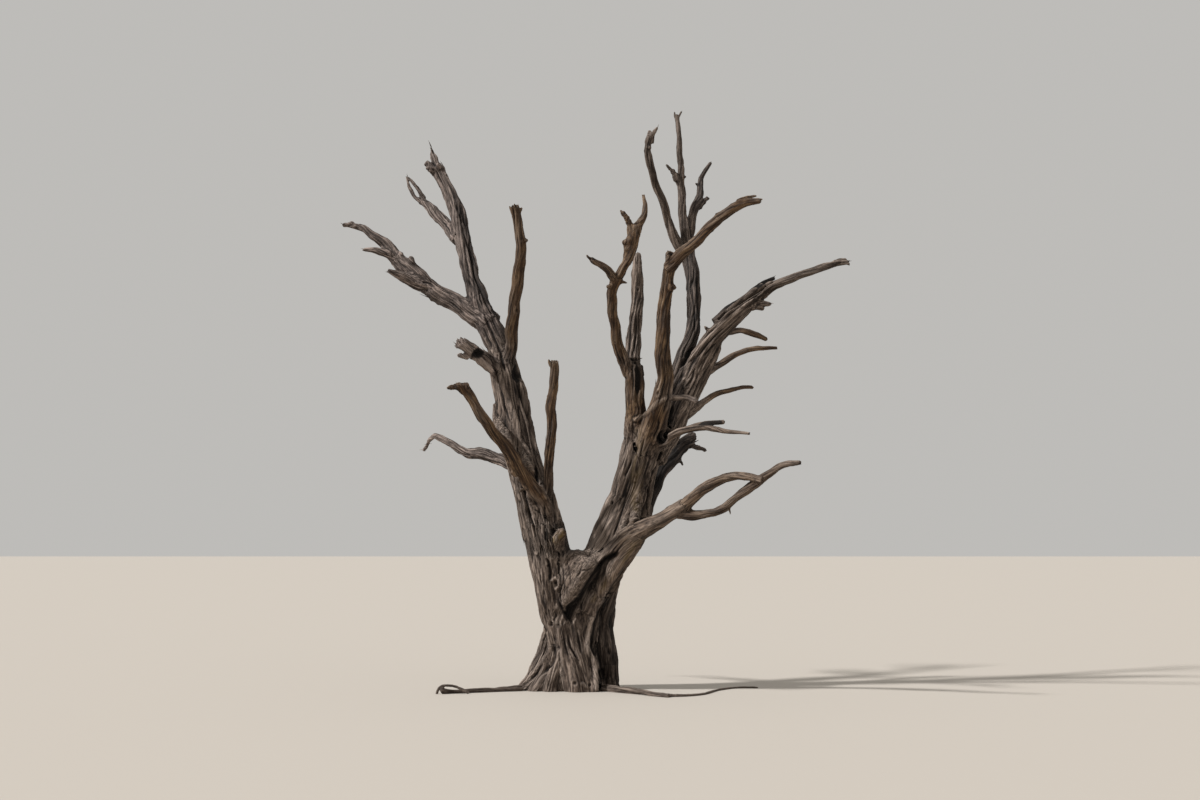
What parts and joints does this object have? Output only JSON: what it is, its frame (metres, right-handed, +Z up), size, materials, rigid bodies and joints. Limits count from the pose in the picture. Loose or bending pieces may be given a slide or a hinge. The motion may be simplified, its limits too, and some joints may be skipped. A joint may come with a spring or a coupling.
{
  "type": "dead tree",
  "caption": "Bare, weathered dead desert tree with a twisted forked trunk, a flared foot and broken boughs that reach out on both sides.",
  "frame": {"origin": "on the flat cut at ground level under the middle of the trunk", "axes": "+Z up the tree, +X to the right as seen from the front, +Y to the back"},
  "size_m": [6.0432, 3.4203, 6.9147],
  "materials": {
    "weathered_wood": "barkless weathered heartwood, grey-brown, deeply cracked along the grain, matt",
    "silvered_wood": "sun-bleached silver-grey wood with dark cracks, matt",
    "brown_wood": "smoother brown wood with fine long grain and thin grey streaks, matt",
    "dark_wood": "dark shaded wood, rough and split, matt"
  },
  "bodies": {
    "root": {"trunk": "weathered_wood", "rear_buttress": "dark_wood", "left_root": "weathered_wood", "right_root": "weathered_wood", "left_stem": "weathered_wood", "crotch_stub": "brown_wood", "left_front_bough": "brown_wood", "left_inner_upright": "brown_wood", "left_low_bough": "silvered_wood", "left_leader": "silvered_wood", "left_leader_fork": "silvered_wood", "far_left_bough": "silvered_wood", "far_left_upper_spur": "silvered_wood", "far_left_lower_spur": "silvered_wood", "left_upright": "brown_wood", "left_hollow_stub": "silvered_wood", "right_stem": "weathered_wood", "low_bough": "brown_wood", "low_bough_lower_arm": "brown_wood", "low_bough_upper_arm": "brown_wood", "rear_bough": "dark_wood", "front_twig": "brown_wood", "inner_right_bough": "brown_wood", "inner_right_limb": "brown_wood", "inner_right_arm": "brown_wood", "inner_right_top": "brown_wood", "inner_right_stump": "weathered_wood", "middle_bough": "brown_wood", "middle_bough_arm": "brown_wood", "shoulder_twig": "silvered_wood", "top_bough": "dark_wood", "top_left_prong": "weathered_wood", "top_middle_prong": "weathered_wood", "top_right_prong": "dark_wood", "far_right_bough": "weathered_wood", "far_right_arm": "weathered_wood", "far_right_ridge": "dark_wood", "far_right_spur": "weathered_wood", "right_upper_twig": "brown_wood", "right_second_twig": "brown_wood", "right_third_twig": "brown_wood"}
  },
  "joints": []
}
